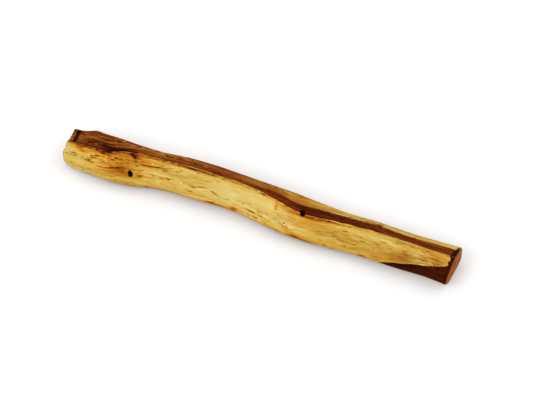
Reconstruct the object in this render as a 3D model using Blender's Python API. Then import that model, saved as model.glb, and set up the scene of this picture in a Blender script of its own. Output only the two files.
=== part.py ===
"""A palo santo stick: one hand-split length of wood with pale sapwood along its front.

The stick is a single solid. It runs along X, from the rough, scooped left end to the sawn right
end, with its broad pale face to -Y and its back to +Y. The middle of its underside is flat, but for
three slight low points round its weight, which it lies on.
The origin is at the bottom centre of its box. Sizes are in millimetres until the mesh is made.
"""
import math

import bpy
import numpy as np
from mathutils import Vector, noise

MM = 0.001

LEFT_END = -50.0
RIGHT_END = 49.48

# The long edges of the stick, as (x, y, z) from the left end to the right.
RIDGE = [
    (-50.0, -0.9, 7.5), (-43.0, -0.85, 7.6), (-39.5, -0.8, 7.7), (-33.5, 0.85, 7.9),
    (-25.0, 1.4, 8.2), (-11.5, 1.55, 8.4), (-3.0, 1.25, 8.4), (1.0, 0.75, 8.3),
    (4.5, 0.05, 8.1), (8.0, -0.9, 8.0), (12.0, -1.3, 7.9), (18.0, -0.85, 7.9),
    (26.0, -0.4, 8.1), (36.0, -0.3, 8.0), (50.0, -0.2, 7.45),
]
TOP_BACK = [
    (-50.0, 3.5, 6.2), (-45.4, 4.08, 6.7), (-43.8, 4.35, 7.0), (-41.5, 4.25, 6.95),
    (-37.5, 4.2, 6.92), (-33.0, 4.0, 6.88), (-27.0, 3.95, 7.0), (-19.0, 4.55, 7.1),
    (-12.0, 4.75, 7.1), (0.9, 4.38, 6.92), (8.5, 4.15, 6.75), (14.5, 3.68, 6.62),
    (20.8, 3.3, 6.72), (28.8, 3.3, 6.9), (37.8, 3.05, 6.7), (50.0, 3.28, 6.65),
]
FRONT = [
    (-50.0, -4.6, 2.6), (-43.0, -5.4, 2.6), (-36.0, -5.73, 2.6), (-31.3, -5.25, 2.6),
    (-26.5, -4.07, 2.7), (-21.0, -3.65, 2.9), (-15.0, -3.65, 3.0), (-9.0, -3.38, 3.0),
    (-5.0, -3.5, 2.8), (0.2, -4.18, 2.6), (7.0, -5.2, 2.6), (13.0, -5.38, 2.6),
    (19.0, -5.05, 2.6), (25.0, -4.7, 2.6), (34.0, -4.9, 2.6), (44.0, -5.28, 3.0),
    (50.0, -5.98, 3.6),
]

# A blunt edge runs along the front face and turns, near the right end, into the lower rim of the
# pale layer: (x, share of the way up from the front edge to the ridge, distance proud of them).
CREASE = [
    (-50.0, 0.46, 0.5), (-42.0, 0.42, 0.5), (-34.0, 0.35, 0.5), (-25.0, 0.22, 0.4),
    (-6.0, 0.2, 0.35), (8.0, 0.2, 0.35), (16.0, 0.15, 0.3), (28.0, 0.12, 0.3),
    (33.0, 0.11, 0.3), (35.5, 0.13, 0.33), (38.0, 0.21, 0.38), (40.5, 0.31, 0.45),
    (44.0, 0.44, 0.55), (47.0, 0.57, 0.55), (50.0, 0.66, 0.5),
]

# The lower back edges and the feet are set from the edges above them. The front foot tucks in
# further under the right end.
BACK_OUT = 0.9
BACK_DROP = 3.6
FOOT_IN_BACK = 0.9
FOOT_IN_FRONT = 1.7
FOOT_TUCK = 0.7
TUCK_FROM = 36.0
FLAT_HALF = 16.0
FOOT_RISE = 0.45

# The low points of the underside, as (x, y), and how far and how high the wood lifts round them.
LOW_POINTS = [(-15.3, -1.4), (-0.3, 3.7), (13.6, -3.1)]
LOW_REACH = 2.5
LOW_LIFT = 0.15

# The seven corners of a cross-section in order round the stick, and how far each is eased.
FRONT_EDGE, CREASE_EDGE, RIDGE_EDGE, TOP_BACK_EDGE, BACK_EDGE, FOOT_BACK, FOOT_FRONT = range(7)
EASE = {
    FRONT_EDGE: 1.2, CREASE_EDGE: 2.4, RIDGE_EDGE: 0.5, TOP_BACK_EDGE: 0.4,
    BACK_EDGE: 1.6, FOOT_BACK: 0.5, FOOT_FRONT: 0.5,
}
EASE_LIMIT = 0.45
CREASE_EASE_RIGHT = 0.3
CREASE_SHARPENS = (28.0, 34.0)

# How far the middle of each face stands out of the straight line between its corners.
BOW = {
    FRONT_EDGE: 0.1, CREASE_EDGE: 0.25, RIDGE_EDGE: -0.15, TOP_BACK_EDGE: 0.3,
    BACK_EDGE: 0.2, FOOT_BACK: 0.0, FOOT_FRONT: 0.1,
}
SCOOP = -0.35
SCOOP_ENDS = (-38.0, -30.0)

# Facets on the face that follows each corner.
FACETS = {
    FRONT_EDGE: 5, CREASE_EDGE: 9, RIDGE_EDGE: 7, TOP_BACK_EDGE: 4,
    BACK_EDGE: 4, FOOT_BACK: 5, FOOT_FRONT: 4,
}
STATION_STEP = 1.15
STATION_CLEAR = 0.3

# The left cut is a curve along a line that climbs across the stick to the back, as (place, x in
# from the end), and it leans. The right cut is flat, and its x changes evenly with y and z.
CUT_CLIMB = math.radians(30.0)
LEFT_CUT = [
    (-2.7, 1.8), (-2.1, 1.15), (-1.1, 0.6), (0.2, 0.35),
    (1.1, 0.75), (2.4, 0.7), (3.0, 0.88), (5.2, 0.92),
]
LEFT_LEAN = 0.1
LEFT_LEAN_LEVEL = 6.0
RIGHT_SLOPES = (0.13, -0.05)
CUT_FADE = 8.0
LEFT_RIM = 0.22
RIGHT_RIM = 0.15
RIM_STEPS = 3
CAP_RINGS = (0.9, 0.75, 0.55, 0.35, 0.15)

# Relief left by splitting, as (height, length along the grain, width across it). It fades out
# towards the underside, between two heights, and the lift round the low points fades out upwards.
FLUTE = (0.16, 30.0, 4.0)
FIBRE = (0.15, 13.0, 1.8)
RELIEF_FROM = (0.2, 1.4)

# The pale layer stops short of the sawn end in a ragged ledge.
LEDGE_AT = 47.2
LEDGE_RAGGED = 0.7
LEDGE_TEETH = 2.5
LEDGE_DEPTH = 0.28

# Two knots have dropped out and left small holes: (x, corner before the face, share of the face).
KNOTS = [(-31.9, CREASE_EDGE, 0.07), (11.3, RIDGE_EDGE, 0.1)]
KNOT_RADIUS = 0.6
KNOT_DEPTH = 1.3
KNOT_TAPER = 0.45
KNOT_SIDES = 12
SHARP_ANGLE = math.radians(35.0)

# Heartwood shows on the top, on the lower right facet, past the ledge and on the right underside.
TOP_DARK_SHARES = (1.0, 0.45)
TOP_PALES = (-8.0, 18.0)
FACET_DARK_FROM = 31.0
UNDERSIDE_DARK_FROM = 0.0

# The linear colour and the roughness of each kind of wood.
WOODS = {
    "sapwood": ((0.66, 0.44, 0.14), 0.55),
    "heartwood": ((0.13, 0.035, 0.006), 0.45),
    "end_grain": ((0.26, 0.09, 0.015), 0.7),
    "knot": ((0.006, 0.004, 0.003), 0.8),
}


def smooth(value, start, end):
    """0 before start, 1 after end, and an eased rise between them."""
    share = np.clip((value - start) / (end - start), 0.0, 1.0)
    return share * share * (3.0 - 2.0 * share)


def along(points, x):
    """Values of the smooth curve through points, read at each x."""
    table = np.array(points)
    knots, values = table[:, 0], table[:, 1:]
    slopes = np.gradient(values, knots, axis=0)
    x = np.clip(x, knots[0], knots[-1])
    left = np.clip(np.searchsorted(knots, x) - 1, 0, len(knots) - 2)
    gap = (knots[left + 1] - knots[left])[..., None]
    t = (x[..., None] - knots[left][..., None]) / gap
    start = (1 + 2 * t) * (1 - t) ** 2 * values[left] + t * (1 - t) ** 2 * gap * slopes[left]
    end = t * t * (3 - 2 * t) * values[left + 1] - t * t * (1 - t) * gap * slopes[left + 1]
    return start + end


def outward(step):
    """The unit vector square to a step along the outline, pointing out of the wood."""
    turned = np.stack([-step[..., 1], step[..., 0]], axis=-1)
    return turned / np.linalg.norm(turned, axis=-1, keepdims=True)


def corners(x):
    """The (y, z) of the seven corners of the cross-section at each x."""
    ridge, top_back, front = along(RIDGE, x), along(TOP_BACK, x), along(FRONT, x)
    share, proud = np.split(along(CREASE, x), 2, axis=-1)
    rise = ridge - front
    crease = front + share * rise + proud * outward(rise)
    foot = FOOT_RISE * smooth(np.abs(x), FLAT_HALF, -LEFT_END)
    back = top_back + np.array([BACK_OUT, -BACK_DROP])
    foot_back = np.stack([back[..., 0] - FOOT_IN_BACK, foot], axis=-1)
    inset = FOOT_IN_FRONT + FOOT_TUCK * smooth(x, TUCK_FROM, RIGHT_END)
    foot_front = np.stack([front[..., 0] + inset, foot], axis=-1)
    return [front, crease, ridge, top_back, back, foot_back, foot_front]


def ease_at(x, corner):
    """How far a corner is eased at each x: the crease sharpens where it becomes a rim."""
    sharp = smooth(x, *CREASE_SHARPENS) if corner == CREASE_EDGE else np.zeros(x.shape)
    return EASE[corner] + (CREASE_EASE_RIGHT - EASE[corner]) * sharp


def bow_at(x, face):
    """How far the middle of a face stands out at each x."""
    if face == RIDGE_EDGE:
        return SCOOP + (BOW[face] - SCOOP) * smooth(x, *SCOOP_ENDS)
    return np.full(x.shape, BOW[face])


def eased(before, corner, after, reach, t):
    """Points at t on the curve that eases a corner between its two neighbours."""
    def on_side(other):
        side = other - corner
        return corner + side * reach / np.linalg.norm(side, axis=-1, keepdims=True)
    return (1 - t) ** 2 * on_side(before) + 2 * t * (1 - t) * corner + t * t * on_side(after)


def face_points(x, face, share):
    """The (y, z) of the point at each x that is a given share of the way along one face."""
    points = corners(x)
    before, a, b, after = (points[(face + step) % 7] for step in (-1, 0, 1, 2))
    sides = [np.linalg.norm(end - start, axis=-1) for start, end in ((before, a), (a, b), (b, after))]
    reach_a = np.minimum(ease_at(x, face), EASE_LIMIT * np.minimum(sides[0], sides[1]))
    reach_b = np.minimum(ease_at(x, (face + 1) % 7), EASE_LIMIT * np.minimum(sides[1], sides[2]))
    share, reach_a, reach_b, length = (
        value[..., None] for value in (share, reach_a, reach_b, sides[1])
    )
    near_a = eased(before, a, b, reach_a, 0.5 + 0.5 * share * length / reach_a)
    near_b = eased(a, b, after, reach_b, 0.5 - 0.5 * (1 - share) * length / reach_b)
    line = np.where(share * length < reach_a, near_a, a + share * (b - a))
    line = np.where((1 - share) * length < reach_b, near_b, line)
    return line + bow_at(x, face)[..., None] * 4 * share * (1 - share) * outward(b - a)


def places_round():
    """The face, and the share of the way along it, of every point of a cross-section."""
    faces, shares = [], []
    for face, count in FACETS.items():
        faces += [face] * count
        shares += list(0.5 - 0.5 * np.cos(np.pi * np.arange(count) / count))
    return np.array(faces), np.array(shares)


def outline(x, faces, shares):
    """The (y, z) of every point of the cross-sections, whose columns may each have an x."""
    rings = np.empty(x.shape + (2,))
    for face in FACETS:
        here = faces == face
        share = np.broadcast_to(shares[here], x[:, here].shape)
        rings[:, here] = face_points(x[:, here], face, share)
    return rings


def stations():
    """The nominal x of each cross-section, closer together where an end is rounded."""
    count = round((RIGHT_END - LEFT_END) / STATION_STEP)
    middle = np.linspace(LEFT_END, RIGHT_END, count + 1)
    quarter = np.linspace(0.0, np.pi / 2, RIM_STEPS + 1)
    left = LEFT_END + LEFT_RIM * (1 - np.cos(quarter))
    right = RIGHT_END - RIGHT_RIM * (1 - np.cos(quarter))
    ledge = LEDGE_AT + LEDGE_RAGGED * np.array([-0.5, 0.5])
    inside = middle[(middle > left[-1] + STATION_CLEAR) & (middle < right[-1] - STATION_CLEAR)]
    return np.sort(np.concatenate([left, inside, ledge, right]))


def rim_inset(x):
    """How far the outline shrinks at each x to round the rims of the ends."""
    inset = np.zeros(x.shape)
    for radius, depth in ((LEFT_RIM, x - LEFT_END), (RIGHT_RIM, RIGHT_END - x)):
        inside = radius - np.clip(depth, 0.0, radius)
        inset += radius - np.sqrt(radius**2 - inside**2)
    return inset


def end_offsets(y, z):
    """How far the left and the right cut stand from a square cut, at each point of the section."""
    place = math.cos(CUT_CLIMB) * y + math.sin(CUT_CLIMB) * z
    level = -math.sin(CUT_CLIMB) * y + math.cos(CUT_CLIMB) * z
    left = along(LEFT_CUT, place)[..., 0] + LEFT_LEAN * (level - LEFT_LEAN_LEVEL)
    return left, RIGHT_SLOPES[0] * y + RIGHT_SLOPES[1] * z


def slanted(x, ring):
    """The x of each point once the ends are cut on the slant."""
    left, right = end_offsets(ring[..., 0], ring[..., 1])
    near_left = 1 - smooth(x, LEFT_END, LEFT_END + CUT_FADE)
    near_right = smooth(x, RIGHT_END - CUT_FADE, RIGHT_END)
    return x + left * near_left + right * near_right


def grain(x, y, z, amount, length, width):
    """Noise drawn out along the grain, between about -amount and amount."""
    points = zip((x / length).ravel(), (y / width).ravel(), (z / width).ravel())
    values = [noise.noise(Vector(point)) for point in points]
    return amount * np.array(values).reshape(x.shape)


def relief(x, ring, faces, shares):
    """How far each point of the skin stands out of, or lies below, the plain outline."""
    y, z = np.moveaxis(ring - ring.mean(axis=1, keepdims=True), -1, 0)
    amount = grain(x, y, z, *FLUTE) + grain(x, y, z, *FIBRE)
    edge = LEDGE_AT + LEDGE_RAGGED / 2 * np.cos(LEDGE_TEETH * 2 * np.pi * shares)
    past = (x > edge) & (faces == CREASE_EDGE)
    return (amount - LEDGE_DEPTH * past) * smooth(ring[..., 1], *RELIEF_FROM)


def lift(x, ring):
    """How far each point of the underside lies above the low points."""
    gaps = [np.hypot(x - low_x, ring[..., 0] - low_y) for low_x, low_y in LOW_POINTS]
    clear = smooth(np.min(gaps, axis=0), 0.0, LOW_REACH)
    return LOW_LIFT * clear * (1 - smooth(ring[..., 1], *RELIEF_FROM))


def skin():
    """The rings of the stick's surface, from the middle of one end face to that of the other."""
    faces, shares = places_round()
    nominal = np.repeat(stations()[:, None], len(faces), axis=1)
    x = slanted(nominal, outline(nominal, faces, shares))
    ring = outline(x, faces, shares)
    step = np.roll(ring, -1, axis=1) - np.roll(ring, 1, axis=1)
    ring = ring + relief(x, ring, faces, shares)[..., None] * outward(step)
    ring[..., 1] += lift(x, ring)
    middle = ring.mean(axis=1, keepdims=True)
    arm = ring - middle
    reach = np.linalg.norm(arm, axis=-1, keepdims=True)
    ring = middle + arm * (1 - rim_inset(nominal)[..., None] / reach)
    caps = np.array(CAP_RINGS)[:, None, None]
    left = middle[0] + caps[::-1] * (ring[0] - middle[0])
    right = middle[-1] + caps * (ring[-1] - middle[-1])
    ring = np.concatenate([left, ring, right])
    edge = np.ones((len(CAP_RINGS), len(faces)))
    nominal = np.concatenate([LEFT_END * edge, nominal, RIGHT_END * edge])
    x = slanted(nominal, ring)
    return np.concatenate([x[..., None], ring], axis=-1), faces, shares, nominal


def wood_of(x, face, share):
    """The kind of wood that shows at a place on the stick."""
    if x <= LEFT_END or x >= RIGHT_END:
        return "end_grain"
    if face == RIDGE_EDGE:
        dark, pale = TOP_DARK_SHARES
        return "heartwood" if share < dark + (pale - dark) * smooth(x, *TOP_PALES) else "sapwood"
    dark_from = {
        FRONT_EDGE: FACET_DARK_FROM, CREASE_EDGE: LEDGE_AT,
        BACK_EDGE: UNDERSIDE_DARK_FROM, FOOT_BACK: UNDERSIDE_DARK_FROM,
    }
    if x > dark_from.get(face, RIGHT_END):
        return "heartwood"
    return "sapwood"


def materials(names):
    """One plain material for each kind of wood."""
    made = []
    for name in names:
        colour, roughness = WOODS[name]
        material = bpy.data.materials.new(name)
        material.use_nodes = True
        shader = material.node_tree.nodes["Principled BSDF"]
        shader.inputs["Base Color"].default_value = (*colour, 1.0)
        shader.inputs["Roughness"].default_value = roughness
        shader.inputs["Metallic"].default_value = 0.0
        material.diffuse_color = (*colour, 1.0)
        made.append(material)
    return made


def stick_mesh():
    """The closed surface of the stick: quads between its rings and a fan at each end."""
    rings, faces, shares, nominal = skin()
    count, around = rings.shape[:2]
    points = [tuple(point) for point in rings.reshape(-1, 3) * MM]
    left_middle, right_middle = len(points), len(points) + 1
    points += [tuple(rings[0].mean(axis=0) * MM), tuple(rings[-1].mean(axis=0) * MM)]
    polygons, kinds = [], []
    for j in range(around):
        k = (j + 1) % around
        polygons.append((left_middle, j, k))
        kinds.append("end_grain")
        for i in range(count - 1):
            a, b = i * around, (i + 1) * around
            polygons.append((a + j, b + j, b + k, a + k))
            kinds.append(wood_of((nominal[i, 0] + nominal[i + 1, 0]) / 2, faces[j], shares[j]))
        last = (count - 1) * around
        polygons.append((last + j, right_middle, last + k))
        kinds.append("end_grain")
    mesh = bpy.data.meshes.new("stick")
    mesh.from_pydata(points, [], polygons)
    woods = list(WOODS)
    for material in materials(woods):
        mesh.materials.append(material)
    mesh.polygons.foreach_set("material_index", [woods.index(kind) for kind in kinds])
    mesh.shade_smooth()
    mesh.set_sharp_from_angle(angle=SHARP_ANGLE)
    return mesh


def knot_cutter(name, x, face, share):
    """A tapered plug, square to the surface, that leaves the hole of a lost knot."""
    shares = np.array([share - 0.01, share, share + 0.01])
    before, here, after = face_points(np.full(3, x), face, shares)
    normal = outward(after - before)
    axis = Vector((0.0, *normal))
    middle = Vector((x, *here)) - axis * (KNOT_DEPTH / 2 - KNOT_RADIUS / 2)
    bpy.ops.mesh.primitive_cone_add(
        vertices=KNOT_SIDES,
        radius1=KNOT_RADIUS * KNOT_TAPER * MM,
        radius2=KNOT_RADIUS * MM,
        depth=(KNOT_DEPTH + KNOT_RADIUS) * MM,
        location=middle * MM,
        rotation=axis.to_track_quat("Z", "Y").to_euler(),
    )
    cutter = bpy.context.object
    cutter.name = name
    cutter.hide_render = True
    cutter.display_type = "WIRE"
    cutter.data.materials.append(bpy.data.materials["knot"])
    return cutter


def collection(name):
    """A new collection in the scene."""
    made = bpy.data.collections.new(name)
    bpy.context.scene.collection.children.link(made)
    return made


def move_to(item, target):
    """Put an object in one collection only."""
    for old in list(item.users_collection):
        old.objects.unlink(item)
    target.objects.link(item)


def main():
    for item in list(bpy.data.objects):
        bpy.data.objects.remove(item)
    part, cutters = collection("palo_santo_stick"), collection("cutters")
    stick = bpy.data.objects.new("stick", stick_mesh())
    part.objects.link(stick)
    for number, place in enumerate(KNOTS, start=1):
        cutter = knot_cutter(f"knot_cutter_{number}", *place)
        move_to(cutter, cutters)
        hole = stick.modifiers.new(f"knot_hole_{number}", "BOOLEAN")
        hole.operation = "DIFFERENCE"
        hole.solver = "EXACT"
        hole.material_mode = "TRANSFER"
        hole.object = cutter


main()
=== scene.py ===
"""The looks of the palo santo stick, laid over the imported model.

One mesh, stick_wood, stands for the CAD node. It has the same split form, with the fibres, cracks,
torn patch, ragged ledge and knot holes in real relief. Its wood is layered as in the photo: a thin
pale layer down the front, dark heartwood under it, and lighter wood beyond. Sizes are in
millimetres until the mesh is made. Shades run from 0, pale, to 1, nearly black.
"""
import math

import bpy
import numpy as np
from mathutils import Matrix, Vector, noise


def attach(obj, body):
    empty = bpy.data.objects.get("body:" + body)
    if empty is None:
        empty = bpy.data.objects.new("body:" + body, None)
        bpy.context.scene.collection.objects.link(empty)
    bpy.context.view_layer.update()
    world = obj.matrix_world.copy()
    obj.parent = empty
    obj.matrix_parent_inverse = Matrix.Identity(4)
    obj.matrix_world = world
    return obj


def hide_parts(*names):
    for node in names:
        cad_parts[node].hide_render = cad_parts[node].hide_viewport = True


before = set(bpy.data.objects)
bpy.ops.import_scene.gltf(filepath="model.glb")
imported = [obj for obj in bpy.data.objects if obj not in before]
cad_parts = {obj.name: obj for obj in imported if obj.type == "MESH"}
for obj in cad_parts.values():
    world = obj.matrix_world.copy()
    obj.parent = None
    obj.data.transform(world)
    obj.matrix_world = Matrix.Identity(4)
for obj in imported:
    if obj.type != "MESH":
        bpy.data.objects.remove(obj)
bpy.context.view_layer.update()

MM = 0.001

# The form, as in the part's source.
LEFT_END = -50.0
RIGHT_END = 49.48

# The long edges of the stick, as (x, y, z) from the left end to the right.
RIDGE = [
    (-50.0, -0.9, 7.5), (-43.0, -0.85, 7.6), (-39.5, -0.8, 7.7), (-33.5, 0.85, 7.9),
    (-25.0, 1.4, 8.2), (-11.5, 1.55, 8.4), (-3.0, 1.25, 8.4), (1.0, 0.75, 8.3),
    (4.5, 0.05, 8.1), (8.0, -0.9, 8.0), (12.0, -1.3, 7.9), (18.0, -0.85, 7.9),
    (26.0, -0.4, 8.1), (36.0, -0.3, 8.0), (50.0, -0.2, 7.45),
]
TOP_BACK = [
    (-50.0, 3.5, 6.2), (-45.4, 4.08, 6.7), (-43.8, 4.35, 7.0), (-41.5, 4.25, 6.95),
    (-37.5, 4.2, 6.92), (-33.0, 4.0, 6.88), (-27.0, 3.95, 7.0), (-19.0, 4.55, 7.1),
    (-12.0, 4.75, 7.1), (0.9, 4.38, 6.92), (8.5, 4.15, 6.75), (14.5, 3.68, 6.62),
    (20.8, 3.3, 6.72), (28.8, 3.3, 6.9), (37.8, 3.05, 6.7), (50.0, 3.28, 6.65),
]
FRONT = [
    (-50.0, -4.6, 2.6), (-43.0, -5.4, 2.6), (-36.0, -5.73, 2.6), (-31.3, -5.25, 2.6),
    (-26.5, -4.07, 2.7), (-21.0, -3.65, 2.9), (-15.0, -3.65, 3.0), (-9.0, -3.38, 3.0),
    (-5.0, -3.5, 2.8), (0.2, -4.18, 2.6), (7.0, -5.2, 2.6), (13.0, -5.38, 2.6),
    (19.0, -5.05, 2.6), (25.0, -4.7, 2.6), (34.0, -4.9, 2.6), (44.0, -5.28, 3.0),
    (50.0, -5.98, 3.6),
]

# A blunt edge along the front face, as (x, share of the way up from the front edge to the ridge,
# distance proud of them). Near the right end it turns into the lower rim of the pale layer.
CREASE = [
    (-50.0, 0.46, 0.5), (-42.0, 0.42, 0.5), (-34.0, 0.35, 0.5), (-25.0, 0.22, 0.4),
    (-6.0, 0.2, 0.35), (8.0, 0.2, 0.35), (16.0, 0.15, 0.3), (28.0, 0.12, 0.3),
    (33.0, 0.11, 0.3), (35.5, 0.13, 0.33), (38.0, 0.21, 0.38), (40.5, 0.31, 0.45),
    (44.0, 0.44, 0.55), (47.0, 0.57, 0.55), (50.0, 0.66, 0.5),
]

# The back edge lies this far behind the top back edge and below it. The underside starts this far
# in from the back and from the front, and further in at the right end. Its middle is flat, and it
# rises from there to both ends.
BACK_OUT = 0.9
BACK_DROP = 3.6
FOOT_IN_BACK = 0.9
FOOT_IN_FRONT = 1.7
FOOT_TUCK = 0.7
TUCK_FROM = 36.0
FLAT_HALF = 16.0
FOOT_RISE = 0.45

# The low points of the underside, as (x, y), and how far and how high the wood lifts round them.
LOW_POINTS = [(-15.3, -1.4), (-0.3, 3.7), (13.6, -3.1)]
LOW_REACH = 2.5
LOW_LIFT = 0.15

# The seven corners of a cross-section in order round the stick, and how far each is eased.
FRONT_EDGE, CREASE_EDGE, RIDGE_EDGE, TOP_BACK_EDGE, BACK_EDGE, FOOT_BACK, FOOT_FRONT = range(7)
EASE = {
    FRONT_EDGE: 1.2, CREASE_EDGE: 2.4, RIDGE_EDGE: 0.5, TOP_BACK_EDGE: 0.4,
    BACK_EDGE: 1.6, FOOT_BACK: 0.5, FOOT_FRONT: 0.5,
}
CORNERS = len(EASE)
EASE_LIMIT = 0.45
CREASE_EASE_RIGHT = 0.3
CREASE_SHARPENS = (28.0, 34.0)

# How far the middle of each face stands out of the straight line between its corners. The top is
# scooped at the left end.
BOW = {
    FRONT_EDGE: 0.1, CREASE_EDGE: 0.25, RIDGE_EDGE: -0.15, TOP_BACK_EDGE: 0.3,
    BACK_EDGE: 0.2, FOOT_BACK: 0.0, FOOT_FRONT: 0.1,
}
SCOOP = -0.35
SCOOP_ENDS = (-38.0, -30.0)

# The left cut is a curve along a line that climbs across the stick to the back, as (place, x in
# from the end), and it leans. The right cut is flat, and its x changes evenly with y and z. The
# slant dies out over CUT_FADE, and each rim is rounded.
CUT_CLIMB = math.radians(30.0)
LEFT_CUT = [
    (-2.7, 1.8), (-2.1, 1.15), (-1.1, 0.6), (0.2, 0.35),
    (1.1, 0.75), (2.4, 0.7), (3.0, 0.88), (5.2, 0.92),
]
LEFT_LEAN = 0.1
LEFT_LEAN_LEVEL = 6.0
RIGHT_SLOPES = (0.13, -0.05)
CUT_FADE = 8.0
LEFT_RIM = 0.22
RIGHT_RIM = 0.15

# Relief left by splitting, as (height, length along the grain, width across it). It rises from
# none at the flat underside, between these two heights.
FLUTE = (0.16, 30.0, 4.0)
FIBRE = (0.15, 13.0, 1.8)
RELIEF_FROM = (0.2, 1.4)

# The mesh: facets on the face after each corner, starting where the seam is hidden underneath.
FACETS = {
    FOOT_FRONT: 19, FRONT_EDGE: 22, CREASE_EDGE: 50, RIDGE_EDGE: 34,
    TOP_BACK_EDGE: 21, BACK_EDGE: 18, FOOT_BACK: 30,
}
STATIONS = 425
STATION_GRID = 20 * STATIONS
RIM_STEPS = 7
CAP_RINGS = 14
# Where the cross-sections crowd together, as (x, reach, how much closer).
CROWDED = [(-49.0, 1.0, 1.0), (-31.9, 0.9, 1.6), (11.3, 0.9, 1.6), (47.6, 0.9, 1.6)]
SHARP_ANGLE = math.radians(40.0)
# What the mesh keeps of the wood at each point, besides its place in the grain.
MARKS = ("bare", "past_dark", "pale", "dark", "beyond", "shade", "life", "warmth", "knot_dark_and_shade", "cut")

# From here on, a place on the skin is (x, distance round the stick from the ridge), and the
# distance is below zero down the front and above zero over the top. The top face ends at the first
# distance here, the front face at the second, and its turn to the underside at the third.
TOP_ENDS = 4.0
FRONT_ENDS = -8.0
TURN_ENDS = -10.0

# The pale layer runs out in a tongue: its lower edge as (x, distance), and its ragged end as
# (distance, x). The dark wood lies a step lower, and the edge of the pale layer stands proud.
TONGUE = [
    (-51.0, -30.0), (28.0, -12.0), (30.3, -8.0), (32.0, -6.9), (34.6, -6.1), (37.0, -5.55),
    (39.6, -4.85), (42.0, -4.3), (44.1, -3.7), (46.2, -3.2), (48.0, -2.5), (51.0, -1.5),
]
TONGUE_END = [
    (-12.0, 47.1), (-3.4, 47.1), (-2.9, 47.5), (-2.4, 48.0), (-1.8, 47.75), (-1.3, 48.1),
    (-0.6, 48.1), (0.0, 47.7), (12.0, 47.7),
]
TONGUE_STARTS = (29.0, 32.0)
LEDGE_DEPTH = 0.28
LEDGE_FADES = (-5.0, -3.0)
STEP_WIDTH = 0.14
STEP_DEPTH = 0.13
STEP_REACH = 1.4
LIP_HEIGHT = 0.06
LIP_WIDTH = 0.16
# The proud edge of the pale layer is painted lighter by this much: a painted highlight.
LIP_PAINTED_HIGHLIGHT = -0.07

# The pale layer is this thick, as (x, thickness), once it is this far below the ridge.
PALE_THICKNESS = [
    (-50.0, 1.3), (-20.0, 1.1), (10.0, 1.3), (22.0, 1.1), (32.0, 0.1), (34.0, -0.3), (50.0, -0.3),
]
PALE_THICKENS = (0.0, 5.0)
# Its shade along the stick, as (x, shade). Its lower edge is darker, as (distance below the ridge
# from, distance to, added shade), and that stops where the tongue starts.
PALE_SHADE = [
    (-50.0, 0.18), (-42.0, 0.19), (-35.0, 0.22), (-22.0, 0.23), (-12.0, 0.18), (0.0, 0.17),
    (6.0, 0.16), (13.0, 0.18), (20.0, 0.23), (32.0, 0.25), (38.0, 0.3), (50.0, 0.26),
]
LOWER_EDGE = (6.6, 7.7, 0.1)
LOWER_EDGE_STOPS = (29.0, 31.0)
# The dark wood beside it has this thickness and this shade along the stick, and the wood beyond
# the dark wood has this shade.
DARK_THICKNESS = [
    (-50.0, 7.5), (-41.0, 6.0), (-36.5, 2.6), (-32.0, 1.2), (-26.0, 1.0), (-15.0, 1.7),
    (-2.5, 1.5), (4.7, 2.3), (9.6, 2.6), (14.4, 2.95), (21.6, 2.65), (27.5, 2.65),
    (35.8, 2.35), (42.0, 2.5), (50.0, 2.5),
]
DARK_SHADE = [
    (-50.0, 0.69), (-41.0, 0.7), (-36.0, 0.73), (-29.0, 0.65), (-20.0, 0.67), (-12.0, 0.71),
    (-6.0, 0.66), (0.0, 0.72), (8.0, 0.78), (17.0, 0.83), (28.0, 0.78), (36.0, 0.76), (50.0, 0.74),
]
BEYOND_SHADE = [
    (-50.0, 0.58), (-34.0, 0.62), (-26.0, 0.61), (-20.0, 0.67), (-14.0, 0.7), (-5.0, 0.58),
    (5.0, 0.48), (12.0, 0.43), (22.0, 0.32), (34.0, 0.3), (50.0, 0.29),
]
# Deeper still it changes, as (depth, added shade on the left, added shade on the right).
DEEPER_SHADE = [
    (3.0, 0.0, 0.0), (5.0, 0.0, 0.03), (6.0, -0.05, 0.28), (7.2, -0.15, 0.3), (8.6, -0.3, 0.06),
]
DEEPER_TURNS = (-20.0, 10.0)
# The upper limit of the dark wood is soft on the left and crisper on the right.
DARK_SOFT = (0.55, 0.22)
DARK_SOFT_TURNS = (-5.0, 22.0)

# The grain on the front climbs to the right over this stretch, most near the bottom.
CLIMB = (16.0, 36.0)
CLIMB_SLOPE = 0.22
CLIMB_REACH = 7.0

# Knots, as (x, distance, size), and how the grain bends round them: how much, and how far along
# and across.
KNOTS = [(-31.9, -5.2, 1.0), (11.5, 0.42, 1.12)]
KNOT_BEND = (0.75, 2.6, 1.3)
# Each is an oval hole that leans over. Its wall and the black inside it run between these shares
# of its size. The black is partly dark knot wood and partly painted shade down the hole. It is
# sunk only into the wood within its reach, and the rest counts as far off. Its direction is taken
# over a few points.
KNOT_DEPTH = 1.3
KNOT_REACH = 2.6
KNOT_SLANT = 0.2
KNOT_SQUEEZE = 0.8
KNOT_WALL = (0.4, 0.62)
KNOT_DARK_AND_SHADE = (0.52, 0.72)
KNOT_POINTS = 2
KNOT_FAR = 9.0
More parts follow.
